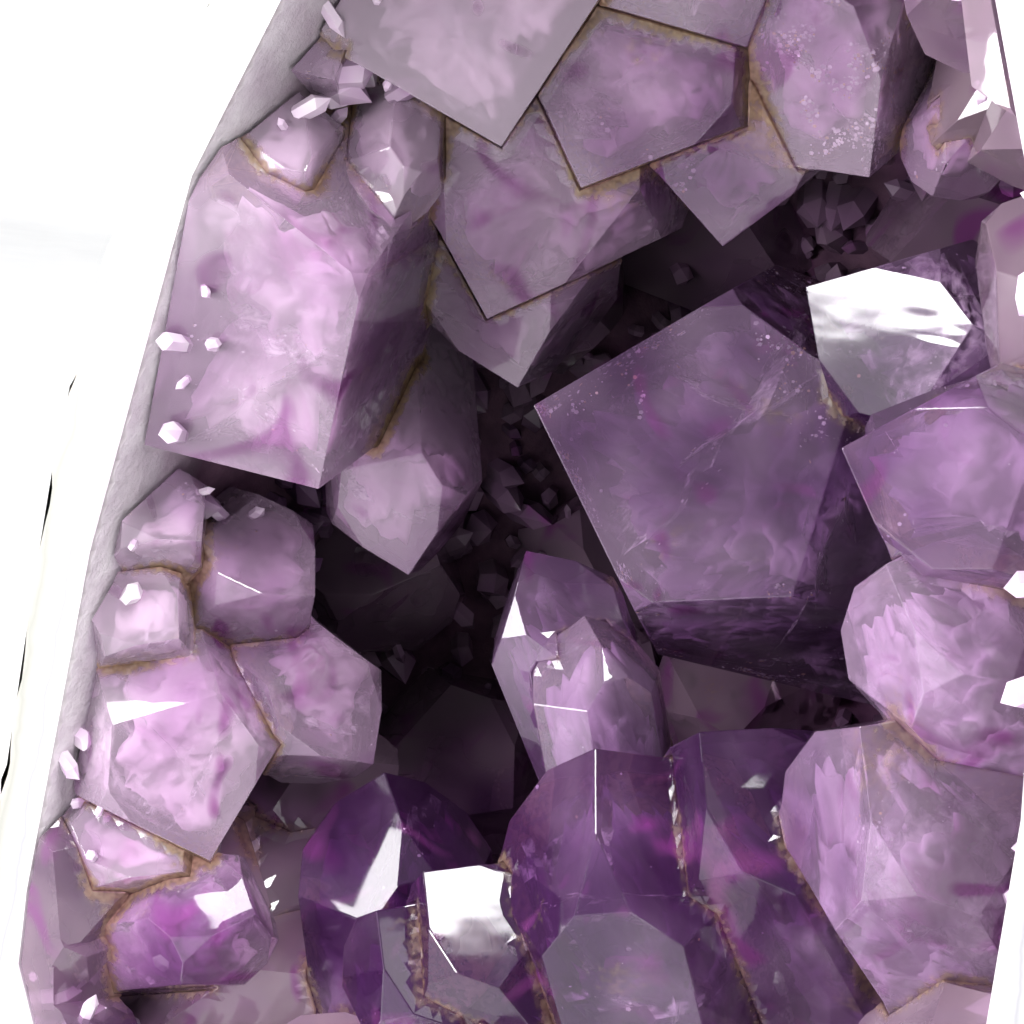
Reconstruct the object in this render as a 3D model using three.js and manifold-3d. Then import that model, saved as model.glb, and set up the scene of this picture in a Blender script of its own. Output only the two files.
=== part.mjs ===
// Amethyst geode: a small free-standing geode, sawn flat in front and underneath.
// Millimetres, +Z up. The sawn front faces -Y. The hollow is described about its own
// centre, and the whole is lifted at the end so that the origin is under its middle.
import * as THREE from 'three';
import { mergeVertices } from 'three/addons/utils/BufferGeometryUtils.js';
import Module from 'manifold-3d';

const wasm = await Module();
wasm.setup();

// ---- driving dimensions ----
const CAVITY = { halfWidth: 47, halfDepth: 56, up: 108, down: 24, power: 3, taper: 0.12, shear: 0.06 };
const RIND = { side: 8, back: 9, top: 9 };
const ROCK = { down: 62, power: 2.6, lump: 1.5, lumpAcross: 5, lumpUp: 7, lumpDeep: 0.6 };
const FRONT_Y = -16;
const BASE_Z = -34;
const GAP = 0.35;
const QUARTZ = { lean: THREE.MathUtils.degToRad(51.8), sides: 6, small: 0.12 };
const DETAIL = { rockAround: 36, rockRings: 18, hollowAround: 20, hollowRings: 10 };
const BOX = 400;
const FLATTEN = 0.15;
const SAME_POINT = 1e-4;

// ---- colours ----
const ROCK_LOOK = { color: 0x8f8a80, roughness: 0.9, metalness: 0 };
const PALE_LOOK = { color: 0xc9b3cf, roughness: 0.15, metalness: 0 };
const MID_LOOK = { color: 0x9a72a8, roughness: 0.15, metalness: 0 };
const DEEP_LOOK = { color: 0x6b4480, roughness: 0.15, metalness: 0 };

// ---- between three.js and the solid kernel ----
function toSolid(geometry) {
  const bare = geometry.index ? geometry.toNonIndexed() : geometry.clone();
  bare.deleteAttribute('normal');
  bare.deleteAttribute('uv');
  const merged = mergeVertices(bare, SAME_POINT);
  const mesh = new wasm.Mesh({
    numProp: 3,
    vertProperties: new Float32Array(merged.attributes.position.array),
    triVerts: new Uint32Array(merged.index.array),
  });
  mesh.merge();
  return new wasm.Manifold(mesh);
}

function toGeometry(solid) {
  const mesh = solid.getMesh();
  const geometry = new THREE.BufferGeometry();
  geometry.setAttribute('position', new THREE.BufferAttribute(mesh.vertProperties, 3));
  geometry.setIndex(new THREE.BufferAttribute(mesh.triVerts, 1));
  geometry.computeVertexNormals();
  return geometry;
}

function keepBelow(solid, normal, offset) {
  return solid.trimByPlane([-normal.x, -normal.y, -normal.z], -offset);
}

function largestPiece(solid) {
  const pieces = solid.decompose();
  return pieces.reduce((best, piece) => (piece.volume() > best.volume() ? piece : best));
}

// ---- the rock and its hollow ----
// A rounded box: directions of a sphere pushed out until |x|^n + |y|^n + |z|^n = 1.
function roundedBody(size, around, rings, relief) {
  const geometry = new THREE.SphereGeometry(1, around, rings);
  const place = geometry.attributes.position;
  const point = new THREE.Vector3();
  for (let i = 0; i < place.count; i += 1) {
    point.fromBufferAttribute(place, i);
    const bumps = relief(point);
    const sum = Math.abs(point.x) ** size.power + Math.abs(point.y) ** size.power + Math.abs(point.z) ** size.power;
    point.multiplyScalar(sum ** (-1 / size.power));
    const z = point.z * (point.z > 0 ? size.up : size.down) + bumps * point.z;
    const narrowing = 1 - (CAVITY.taper * z) / CAVITY.up;
    const x = point.x * (size.halfWidth + bumps) * narrowing + CAVITY.shear * z;
    place.setXYZ(i, x, point.y * (size.halfDepth + bumps), z);
  }
  return toSolid(geometry);
}

function hollowSize(inset) {
  return {
    halfWidth: CAVITY.halfWidth - inset,
    halfDepth: CAVITY.halfDepth - inset,
    up: CAVITY.up - inset,
    down: CAVITY.down - inset,
    power: CAVITY.power,
  };
}

function rockLumps(direction) {
  const across = Math.sin(ROCK.lumpAcross * direction.x + 2 * direction.y + 0.7);
  const upward = Math.sin(ROCK.lumpUp * direction.z - 3 * direction.x + 1.9);
  const deep = Math.sin(ROCK.lumpAcross * direction.y - 4 * direction.z);
  return ROCK.lump * (across * upward + ROCK.lumpDeep * deep);
}

const smooth = () => 0;
const hollow = roundedBody(hollowSize(0), DETAIL.hollowAround, DETAIL.hollowRings, smooth);
const growingRoom = keepBelow(
  roundedBody(hollowSize(GAP), DETAIL.hollowAround, DETAIL.hollowRings, smooth),
  new THREE.Vector3(0, -1, 0),
  -FRONT_Y,
);

function makeRock() {
  const size = {
    halfWidth: CAVITY.halfWidth + RIND.side,
    halfDepth: CAVITY.halfDepth + RIND.back,
    up: CAVITY.up + RIND.top,
    down: ROCK.down,
    power: ROCK.power,
  };
  let rock = roundedBody(size, DETAIL.rockAround, DETAIL.rockRings, rockLumps);
  rock = keepBelow(rock, new THREE.Vector3(0, -1, 0), -FRONT_Y);
  rock = keepBelow(rock, new THREE.Vector3(0, 0, -1), -BASE_Z);
  return largestPiece(rock.subtract(hollow));
}

// ---- crystals ----
// Every crystal is a six-sided prism under six sloping faces. In its own frame the tip is
// at the origin and the axis is +Z. `flats` makes its sides unequal and `steps` sets one
// sloping face back from the tip, as uneven growth does.
function crystalPlanes(crystal, grow) {
  const planes = [];
  for (let i = 0; i < QUARTZ.sides; i += 1) {
    const angle = THREE.MathUtils.degToRad(crystal.turn + 60 * i);
    const side = new THREE.Vector3(Math.cos(angle), Math.sin(angle), 0);
    const slope = side.clone().multiplyScalar(Math.sin(QUARTZ.lean));
    slope.z = Math.cos(QUARTZ.lean);
    planes.push({ normal: side, offset: (crystal.width / 2) * crystal.flats[i] + grow });
    planes.push({ normal: slope, offset: crystal.width * crystal.steps[i] + grow });
  }
  planes.push({ normal: new THREE.Vector3(0, 0, -1), offset: crystal.length + grow });
  return planes;
}

function crystalFrame(crystal) {
  const yaw = THREE.MathUtils.degToRad(crystal.yaw);
  const pitch = THREE.MathUtils.degToRad(crystal.pitch);
  const level = Math.cos(pitch);
  const axis = new THREE.Vector3(level * Math.sin(yaw), -level * Math.cos(yaw), Math.sin(pitch));
  const upward = Math.abs(axis.z) < 0.9 ? new THREE.Vector3(0, 0, 1) : new THREE.Vector3(0, 1, 0);
  const across = upward.cross(axis).normalize();
  const along = axis.clone().cross(across);
  const turned = new THREE.Matrix4().makeBasis(across, along, axis);
  return turned.setPosition(crystal.tip.x, crystal.tip.y, crystal.tip.z);
}

const blank = toSolid(new THREE.BoxGeometry(BOX, BOX, BOX));

function crystalSolid(crystal, grow) {
  let solid = blank;
  for (const plane of crystalPlanes(crystal, grow)) {
    solid = keepBelow(solid, plane.normal, plane.offset);
  }
  return solid.transform(crystalFrame(crystal).elements);
}

const EVEN = [1, 1, 1, 1, 1, 1];

// Three of the six sloping faces are the larger ones. `small` sets the other three back
// from the tip by that share of the width: at 0.2 they are gone.
function unevenSteps(small) {
  return [0, small, 0, small, 0, small];
}

function crystal(name, tip, yaw, pitch, width, turn, length, more = {}) {
  const steps = unevenSteps(more.small ?? QUARTZ.small);
  const flats = more.flats ?? EVEN;
  return { name, tip: new THREE.Vector3(...tip), yaw, pitch, width, turn, length, steps, flats };
}

// The large crystals: tip, heading, climb, width, turn, length. Most of their places and
// directions were worked out by a separate program and rounded; the rest were set by eye.
const ROOF = [
  crystal('roof_crystal_hexagon', [-26, -11, 71], 55, -5, 11, 0, 22, { small: 0.05 }),
  crystal('roof_crystal_rim', [-26, -8, 79], 64, -25, 12, 10, 20),
  crystal('roof_crystal_small', [-22, -3, 67], 35, -50, 8, 10, 30),
  crystal('roof_crystal_largest', [-14, 1, 75], 59, -51, 32, 3, 45, { small: 0.17 }),
  crystal('roof_crystal_high', [3, 12, 86], 69, -46, 26, 23, 45, { small: 0.16 }),
  crystal('roof_crystal_middle', [-10, 9, 72], 8, -52, 24, 65, 50, { small: 0.15 }),
  crystal('roof_crystal_speckled', [12, 22, 76], 64, -51, 24, 50, 45, { small: 0.13 }),
  crystal('roof_crystal_violet', [0, 19, 68], 35, -60, 22, 94, 50),
  crystal('roof_crystal_low', [-17, 7, 59], 16, -50, 26, 72, 55, { small: 0.1 }),
  crystal('roof_crystal_shaded', [-17, 14, 52], 39, -58, 19, 10, 50),
  crystal('roof_crystal_dark', [17, 25, 75], 0, -47, 9, 10, 40),
];
const LEFT = [
  crystal('left_crystal_largest', [-24, -7, 43], 64, -47, 34, 32, 40, { small: 0.18 }),
  crystal('left_crystal_deep', [-23, 8, 33], 45, -46, 14, 0, 45),
  crystal('left_crystal_upper', [-28, 0, 31], 79, 2, 14, 0, 30),
  crystal('left_crystal_bright', [-29, -11, 7], 59, -33, 18, 114, 36, { small: 0.15 }),
  crystal('left_crystal_lower', [-22, 4, 15], 83, -17, 15, 0, 36),
  crystal('left_crystal_rim_upper', [-35, -9, 36], 75, 3, 11, 0, 20),
  crystal('left_crystal_rim_lower', [-35, -11, 27], 68, -2, 11, 20, 22),
  crystal('left_crystal_milky', [-32, -11, 5], 62, -3, 14, 20, 28),
  crystal('left_crystal_foot', [-24, -10, 3], 70, 26, 12, 20, 36),
];
const RIGHT = [
  crystal('right_crystal_largest', [-11, 7, 52], -30, 13, 34, 3, 75, { small: 0.17 }),
  crystal('right_crystal_upper', [10, 16, 66], -45, 19, 18, 107, 50),
  crystal('right_crystal_middle', [23, 3, 58], -38, 26, 15, 10, 50),
  crystal('right_crystal_front', [31, -10, 49], -25, 38, 15, 20, 50),
  crystal('right_crystal_edge', [26, -10, 57], -42, 11, 17, 0, 45),
  crystal('right_crystal_near', [31, -10, 36], -15, 44, 20, 0, 62),
];
const FLOOR = [
  crystal('floor_crystal_left', [-20, 3, 15], -24, 76, 17, 20, 45),
  crystal('floor_crystal_front', [-9, -13, 9], -19, 49, 14, 10, 50),
  crystal('floor_crystal_sharp', [-6, -11, 13], -36, 48, 14, 20, 55),
  crystal('floor_crystal_column', [-3, 7, 34], -48, 73, 11, 20, 66),
  crystal('floor_crystal_behind', [-11, 9, 38], -51, 62, 13, 20, 74),
  crystal('floor_crystal_large', [7, -7, 27], -19, 64, 21, 10, 62),
  crystal('floor_crystal_right', [15, -4, 30], -26, 51, 18, 10, 68),
  crystal('floor_crystal_small', [2, -6, 22], 74, 86, 9, 10, 52),
];

// ---- the smaller crystals that line the wall ----
const LINING = {
  spots: 112,
  patches: 20,
  seed: 20,
  width: [15, 22],
  height: [11, 17],
  thickHeight: 9,
  thickRight: { from: 10, to: 45, share: 0.8 },
  thickFloor: { from: -30, to: 10 },
  lean: 0.3,
  small: [0.06, 0.18],
  frontDepth: 20,
  frontShare: 0.7,
  frontClear: 8,
  smallestShare: 0.35,
  pieces: 19,
};
const RIM_ROW = { count: 30, depth: -0.2, width: [12, 15], height: [7, 11], parts: 5, share: 0.12, seed: 7 };
const ROOT = 12;
const CORE = { y: 14, low: 12, high: 72 };

function seededRandom(seed) {
  let state = seed;
  return () => {
    state = (state * 1664525 + 1013904223) % 4294967296;
    return state / 4294967296;
  };
}

function spiralDirection(index, count) {
  const y = 1 - (2 * index + 1) / count;
  const angle = index * Math.PI * (3 - Math.sqrt(5));
  const radius = Math.sqrt(1 - y * y);
  return new THREE.Vector3(radius * Math.cos(angle), y, radius * Math.sin(angle));
}

function wallPoint(direction) {
  const { power } = CAVITY;
  const sum = Math.abs(direction.x) ** power + Math.abs(direction.y) ** power + Math.abs(direction.z) ** power;
  const point = direction.clone().multiplyScalar(sum ** (-1 / power));
  const z = point.z * (point.z > 0 ? CAVITY.up : CAVITY.down);
  const x = point.x * CAVITY.halfWidth * (1 - (CAVITY.taper * z) / CAVITY.up) + CAVITY.shear * z;
  return new THREE.Vector3(x, point.y * CAVITY.halfDepth, z);
}

// The lining is thicker low down and on the right, where the crystals stand taller.
function liningHeight(point, random) {
  const [low, high] = LINING.height;
  const { thickRight, thickFloor } = LINING;
  const right = thickRight.share * THREE.MathUtils.smoothstep(point.x, thickRight.from, thickRight.to);
  const floor = THREE.MathUtils.smoothstep(-point.z, thickFloor.from, thickFloor.to);
  return low + (high - low) * random + LINING.thickHeight * Math.max(right, floor);
}

// Beside the sawn front they are smaller.
function shareAtFront(point) {
  const inside = THREE.MathUtils.smoothstep(point.y - FRONT_Y, 0, LINING.frontDepth);
  return LINING.frontShare + (1 - LINING.frontShare) * inside;
}

function inwardCrystal(point, size, random) {
  const [sharp, blunt] = LINING.small;
  const middle = new THREE.Vector3(0, CORE.y, THREE.MathUtils.clamp(point.z, CORE.low, CORE.high));
  const inward = middle.sub(point).normalize();
  const lean = new THREE.Vector3(random() - 0.5, random() - 0.5, random() - 0.5);
  inward.addScaledVector(lean, 2 * LINING.lean).normalize();
  const tip = point.clone().addScaledVector(inward, size.height);
  const yaw = THREE.MathUtils.radToDeg(Math.atan2(inward.x, -inward.y));
  const pitch = THREE.MathUtils.radToDeg(Math.asin(inward.z));
  const small = sharp + (blunt - sharp) * random();
  const length = size.height + ROOT;
  return crystal('lining', tip.toArray(), yaw, pitch, size.width, 120 * random(), length, { small });
}

function liningCrystal(point, random) {
  const [narrow, wide] = LINING.width;
  const share = shareAtFront(point);
  const height = liningHeight(point, random()) * share;
  const width = (narrow + (wide - narrow) * random()) * share;
  return inwardCrystal(point, { width, height }, random);
}

// ---- growing them one after another ----
// A crystal that came first is whole. A later one stops GAP short of it.
const grownBefore = [];

function clearOfEarlier(solid) {
  const box = solid.boundingBox();
  const near = grownBefore.filter(
    (other) => [0, 1, 2].every((i) => box.min[i] < other.box.max[i] && box.max[i] > other.box.min[i]),
  );
  return near.reduce((left, other) => left.subtract(other.solid), solid);
}

function remember(one) {
  const solid = crystalSolid(one, GAP);
  grownBefore.push({ solid, box: solid.boundingBox() });
}

function roomLeft(one, share) {
  const whole = crystalSolid(one, 0).intersect(growingRoom);
  const left = clearOfEarlier(whole);
  const enough = left.volume() > share * Math.max(whole.volume(), 1);
  return enough ? largestPiece(left) : null;
}

function nodeMesh(name, solid, frame, look) {
  const geometry = toGeometry(solid.transform(frame.clone().invert().elements));
  const mesh = new THREE.Mesh(geometry, new THREE.MeshStandardMaterial(look));
  mesh.name = name;
  frame.decompose(mesh.position, mesh.quaternion, mesh.scale);
  return mesh;
}

function growLarge(list, look) {
  const group = new THREE.Group();
  for (const one of list) {
    const solid = clearOfEarlier(crystalSolid(one, 0).intersect(growingRoom));
    if (solid.isEmpty()) throw new Error(`${one.name} is buried`);
    group.add(nodeMesh(one.name, largestPiece(solid), crystalFrame(one), look));
    remember(one);
  }
  return group;
}

function nearestPatch(point, patches) {
  let best = 0;
  patches.forEach((centre, i) => {
    if (point.distanceTo(centre) < point.distanceTo(patches[best])) best = i;
  });
  return best;
}

function plantLining() {
  const random = seededRandom(LINING.seed);
  const patches = [];
  for (let i = 0; i < LINING.patches; i += 1) {
    const centre = wallPoint(spiralDirection(i, LINING.patches));
    patches.push(centre);
  }
  const planted = patches.map(() => []);
  for (let i = 0; i < LINING.spots; i += 1) {
    const point = wallPoint(spiralDirection(i, LINING.spots));
    const one = liningCrystal(point, random);
    const behindRim = point.y > FRONT_Y + LINING.frontClear;
    const left = behindRim ? roomLeft(one, LINING.smallestShare) : null;
    if (left) planted[nearestPatch(point, patches)].push({ one, left });
  }
  return planted.filter((patch) => patch.length > 0);
}

// One row of small crystals stands behind the sawn edge, in a few unbroken lengths.
function plantRimRow() {
  const random = seededRandom(RIM_ROW.seed);
  const [narrow, wide] = RIM_ROW.width;
  const [low, high] = RIM_ROW.height;
  const planted = Array.from({ length: RIM_ROW.parts }, () => []);
  for (let i = 0; i < RIM_ROW.count; i += 1) {
    const angle = (2 * Math.PI * (i + 0.5)) / RIM_ROW.count;
    const point = wallPoint(new THREE.Vector3(Math.sin(angle), RIM_ROW.depth, Math.cos(angle)));
    const size = { width: narrow + (wide - narrow) * random(), height: low + (high - low) * random() };
    const one = inwardCrystal(point, size, random);
    const left = roomLeft(one, RIM_ROW.share);
    if (left) planted[Math.floor((i * RIM_ROW.parts) / RIM_ROW.count)].push({ one, left });
  }
  return planted;
}

// Neighbours that overlap are one solid. The largest such clusters are kept.
function growClusters(name, patches, most) {
  const grown = [];
  for (const patch of patches) {
    const joined = patch.map(({ left }) => left).reduce((all, next) => all.add(next));
    grown.push(...clearOfEarlier(joined).simplify(FLATTEN).decompose());
    patch.forEach(({ one }) => remember(one));
  }
  grown.sort((first, second) => second.volume() - first.volume());
  const group = new THREE.Group();
  grown.slice(0, most).forEach((piece, i) => {
    const box = piece.boundingBox();
    const frame = new THREE.Matrix4().setPosition(box.min[0], box.min[1], box.min[2]);
    group.add(nodeMesh(`${name}_${String(i + 1).padStart(2, '0')}`, piece, frame, MID_LOOK));
  });
  return group;
}

const rock = new THREE.Mesh(toGeometry(makeRock()), new THREE.MeshStandardMaterial(ROCK_LOOK));
rock.name = 'rock_shell';
const geode = new THREE.Group();
geode.add(rock);
geode.add(growLarge(ROOF, PALE_LOOK));
geode.add(growLarge(LEFT, PALE_LOOK));
geode.add(growLarge(FLOOR, DEEP_LOOK));
geode.add(growLarge(RIGHT, DEEP_LOOK));
geode.add(growClusters('rim_cluster', plantRimRow(), RIM_ROW.parts));
geode.add(growClusters('lining_cluster', plantLining(), LINING.pieces));

// The origin goes under the middle of the rock.
rock.geometry.computeBoundingBox();
const middle = rock.geometry.boundingBox.getCenter(new THREE.Vector3());
geode.position.set(-middle.x, -middle.y, -rock.geometry.boundingBox.min.z);

export default geode;
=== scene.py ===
"""Amethyst geode: a sawn rock shell lined with large quartz points. All sizes are in metres."""
import math
import random

import bmesh
import bpy
import numpy as np
from mathutils import Matrix, Vector, noise
from mathutils.bvhtree import BVHTree


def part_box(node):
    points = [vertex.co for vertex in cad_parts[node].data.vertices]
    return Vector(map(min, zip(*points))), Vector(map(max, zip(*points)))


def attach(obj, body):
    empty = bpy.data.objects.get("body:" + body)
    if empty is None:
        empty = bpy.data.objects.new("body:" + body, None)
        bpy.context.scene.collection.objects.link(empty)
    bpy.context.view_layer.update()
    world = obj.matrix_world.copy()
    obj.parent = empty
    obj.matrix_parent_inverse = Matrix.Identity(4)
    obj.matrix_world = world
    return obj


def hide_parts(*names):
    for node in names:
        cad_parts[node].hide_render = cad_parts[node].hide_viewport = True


MM = 0.001

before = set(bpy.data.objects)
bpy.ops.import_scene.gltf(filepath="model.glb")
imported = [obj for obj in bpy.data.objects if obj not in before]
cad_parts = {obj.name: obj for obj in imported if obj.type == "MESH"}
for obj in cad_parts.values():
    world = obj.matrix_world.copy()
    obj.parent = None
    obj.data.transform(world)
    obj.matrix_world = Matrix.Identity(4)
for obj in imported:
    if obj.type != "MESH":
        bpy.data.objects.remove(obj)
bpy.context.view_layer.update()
BODY = "root"
ROCK = "rock_shell"
CRYSTALS = sorted(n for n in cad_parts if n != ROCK)
LARGE = [n for n in CRYSTALS if "_crystal_" in n]
FRONT_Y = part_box(ROCK)[0].y

# growth of the crystals
FACET_STEP = 1.5 * MM          # longest edge of a facet's mesh
RIDGE_WIDTH = 0.13 * MM        # worn width of a ridge
SEAM_REACH = 1.6 * MM          # how far from a neighbour the staining reaches
SEAM_CLOSED = 0.15 * MM        # how far a crystal grows into the gap to its neighbour
ROOT_LENGTH = 26 * MM          # the milky root's length, from the wall
OUTWARD = Vector((0.31, -0.77, 0.56)).normalized()   # a line along it leaves a closed shape once more than it enters
TONE_REACH = 0.55
TONE = {                       # how violet each crystal is, from pale (-1) to deep (1)
    "roof_crystal_rim": 1.0, "roof_crystal_hexagon": -0.3, "roof_crystal_small": -0.3,
    "roof_crystal_largest": -0.9, "roof_crystal_middle": 0.0, "roof_crystal_low": 0.3,
    "roof_crystal_violet": 0.55, "roof_crystal_speckled": 0.55, "roof_crystal_high": 0.3,
    "roof_crystal_shaded": 0.35, "roof_crystal_dark": 0.8, "left_crystal_largest": 1.0,
    "left_crystal_deep": 0.3, "left_crystal_upper": 0.25, "left_crystal_lower": 0.2,
    "left_crystal_bright": 0.2, "left_crystal_milky": -0.6, "left_crystal_foot": 0.7,
    "left_crystal_rim_upper": 0.3, "left_crystal_rim_lower": -0.8,
    "right_crystal_largest": 0.0, "right_crystal_upper": 0.9, "right_crystal_edge": 1.0,
    "right_crystal_front": -0.6, "right_crystal_near": -0.1, "right_crystal_middle": 0.6,
    "floor_crystal_left": 1.2, "floor_crystal_front": 1.7, "floor_crystal_sharp": 1.8,
    "floor_crystal_column": -0.2, "floor_crystal_behind": 0.3, "floor_crystal_large": 0.9,
    "floor_crystal_right": 0.9, "floor_crystal_small": 0.7,
}
ROCK_STEP = 1.8 * MM           # longest edge of the rind's mesh
BAND_WIDTH = 9 * MM            # the banded rim's width on the sawn front
RIM_DEPTH = 22 * MM            # how far in from the sawn front the druse is painted pale, as painted light from the opening
SLOT_OF = {
    "roof": "amethyst_pale",
    "left": "amethyst_pale",
    "floor": "amethyst_deep",
    "right": "amethyst_deep",
    "lining": "amethyst_lining",
    "rim": "amethyst_lining",
}


# ---------------------------------------------------------------- nodes
def node(tree, kind, place=(0, 0), **settings):
    made = tree.nodes.new(kind)
    made.location = place
    for name, value in settings.items():
        setattr(made, name, value)
    return made


def join(tree, source, target):
    tree.links.new(source, target)
    return target


def socket(tree, label, kind, side="INPUT", value=None):
    made = tree.interface.new_socket(label, in_out=side, socket_type="NodeSocket" + kind)
    if value is not None:
        made.default_value = value
    return made


def math_node(tree, operation, a, b=None, clamp=False):
    made = node(tree, "ShaderNodeMath", operation=operation, use_clamp=clamp)
    for index, value in enumerate((a, b)):
        if value is None:
            continue
        if isinstance(value, (int, float)):
            made.inputs[index].default_value = value
        else:
            join(tree, value, made.inputs[index])
    return made.outputs[0]


def mix_colour(tree, amount, a, b, blend="MIX"):
    made = node(tree, "ShaderNodeMix", data_type="RGBA", blend_type=blend)
    for index, value in ((0, amount), (6, a), (7, b)):
        if isinstance(value, bpy.types.NodeSocket):
            join(tree, value, made.inputs[index])
        else:
            made.inputs[index].default_value = value
    return made.outputs[2]


def ramp(tree, source, stops):
    made = node(tree, "ShaderNodeValToRGB")
    elements = made.color_ramp.elements
    while len(elements) < len(stops):
        elements.new(0.5)
    for element, (place, colour) in zip(elements, stops):
        element.position = place
        element.color = colour if len(colour) == 4 else (*colour, 1)
    join(tree, source, made.inputs[0])
    return made.outputs[0]


def spread(tree, source, low, high):
    made = node(tree, "ShaderNodeMapRange", clamp=True)
    join(tree, source, made.inputs[0])
    made.inputs[1].default_value = low
    made.inputs[2].default_value = high
    return made.outputs[0]


def fog(tree, where, scale, detail=3.0, twist=0.0, rough=0.55):
    made = node(tree, "ShaderNodeTexNoise")
    join(tree, where, made.inputs["Vector"])
    made.inputs["Scale"].default_value = scale
    made.inputs["Detail"].default_value = detail
    made.inputs["Roughness"].default_value = rough
    made.inputs["Distortion"].default_value = twist
    return made.outputs["Fac"]


def shader_group(name, inputs, outputs):
    tree = bpy.data.node_groups.new(name, "ShaderNodeTree")
    for label, kind, value in inputs:
        socket(tree, label, kind, "INPUT", value)
    for label, kind in outputs:
        socket(tree, label, kind, "OUTPUT")
    return tree, node(tree, "NodeGroupInput"), node(tree, "NodeGroupOutput")


def place_group(tree, group, **values):
    made = node(tree, "ShaderNodeGroup", node_tree=group)
    for label, value in values.items():
        target = made.inputs[label.replace("_", " ")]
        if isinstance(value, bpy.types.NodeSocket):
            join(tree, value, target)
        else:
            target.default_value = value
    return made


# ---------------------------------------------------------------- shared effects
def colour_zones_group():
    """Violet comes in cloudy zones over a pale root, with a few magenta spots."""
    tree, given, out = shader_group(
        "colour zones",
        [("Vector", "Vector", None), ("Root", "Float", 0.0), ("Pale", "Color", (1, 1, 1, 1)),
         ("Violet", "Color", (1, 1, 1, 1)), ("Deep", "Color", (1, 1, 1, 1)),
         ("Magenta", "Color", (1, 1, 1, 1)), ("Strength", "Float", 0.5)],
        [("Color", "Color"), ("Cloud", "Float")],
    )
    where = given.outputs["Vector"]
    wide = fog(tree, where, 42, 1, 0.6)
    fine = fog(tree, where, 170, 1)
    cloud = math_node(tree, "ADD", math_node(tree, "MULTIPLY", wide, 0.68),
                      math_node(tree, "MULTIPLY", fine, 0.32))
    cloud = math_node(tree, "ADD", cloud, math_node(tree, "MULTIPLY", given.outputs["Strength"], 0.3))
    cloud = math_node(tree, "SUBTRACT", cloud, math_node(tree, "MULTIPLY", given.outputs["Root"], 0.22))
    shown = spread(tree, cloud, 0.42, 0.78)
    colour = mix_colour(tree, shown, given.outputs["Pale"], given.outputs["Violet"])
    deep = spread(tree, math_node(tree, "SUBTRACT", cloud, math_node(tree, "MULTIPLY", fine, 0.18)), 0.56, 0.74)
    colour = mix_colour(tree, deep, colour, given.outputs["Deep"])
    spots = spread(tree, fog(tree, where, 95, 1, 1.6), 0.61, 0.73)
    colour = mix_colour(tree, math_node(tree, "MULTIPLY", spots, 0.85), colour, given.outputs["Magenta"])
    join(tree, colour, out.inputs["Color"])
    join(tree, cloud, out.inputs["Cloud"])
    return tree


def growth_relief_group():
    """Low growth hills and fine steps on a crystal's facets."""
    tree, given, out = shader_group(
        "growth relief", [("Vector", "Vector", None), ("Steps", "Float", 0.16)],
        [("Height", "Float"), ("Gloss", "Float")],
    )
    where = given.outputs["Vector"]
    stretch = node(tree, "ShaderNodeMapping")
    join(tree, where, stretch.inputs["Vector"])
    stretch.inputs["Scale"].default_value = (0.35, 0.35, 1.0)
    steps = fog(tree, stretch.outputs[0], 900, 0)
    hills = fog(tree, where, 260, 0)
    height = math_node(tree, "ADD", math_node(tree, "MULTIPLY", hills, 0.55),
                       math_node(tree, "MULTIPLY", steps, given.outputs["Steps"]))
    join(tree, height, out.inputs["Height"])
    join(tree, spread(tree, fog(tree, where, 120, 0), 0.35, 0.85), out.inputs["Gloss"])
    return tree


def iron_stain_group():
    """Rusty clay caught in the seam where two crystals meet."""
    tree, given, out = shader_group(
        "iron stain", [("Vector", "Vector", None), ("Seam", "Float", 0.0), ("Amount", "Float", 0.5)],
        [("Mask", "Float"), ("Color", "Color")],
    )
    where = given.outputs["Vector"]
    patchy = fog(tree, where, 130, 0)
    fine = fog(tree, where, 1500, 1)
    reach = math_node(tree, "ADD", given.outputs["Seam"],
                      math_node(tree, "MULTIPLY", math_node(tree, "SUBTRACT", patchy, 0.56), 1.5))
    reach = math_node(tree, "ADD", reach, math_node(tree, "MULTIPLY", math_node(tree, "SUBTRACT", fine, 0.5), 0.7))
    mask = math_node(tree, "MULTIPLY", spread(tree, reach, 0.35, 0.8), given.outputs["Amount"], True)
    join(tree, mask, out.inputs["Mask"])
    join(tree, ramp(tree, fine, [(0.3, (0.17, 0.085, 0.04)), (0.55, (0.42, 0.26, 0.13)), (0.8, (0.60, 0.45, 0.28))]),
         out.inputs["Color"])
    return tree


COLOUR_ZONES = colour_zones_group()
GROWTH_RELIEF = growth_relief_group()
IRON_STAIN = iron_stain_group()


def new_material(name):
    made = bpy.data.materials.new(name)
    made.use_nodes = True
    tree = made.node_tree
    tree.nodes.clear()
    where = node(tree, "ShaderNodeTexCoord").outputs["Object"]
    return made, tree, where, node(tree, "ShaderNodeBsdfPrincipled"), node(tree, "ShaderNodeOutputMaterial")


def attribute(tree, name):
    return node(tree, "ShaderNodeAttribute", attribute_name=name).outputs["Fac"]


def bump(tree, height, distance, strength=1.0):
    made = node(tree, "ShaderNodeBump")
    made.inputs["Strength"].default_value = strength
    made.inputs["Distance"].default_value = distance
    join(tree, height, made.inputs["Height"])
    return made.outputs[0]


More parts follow.
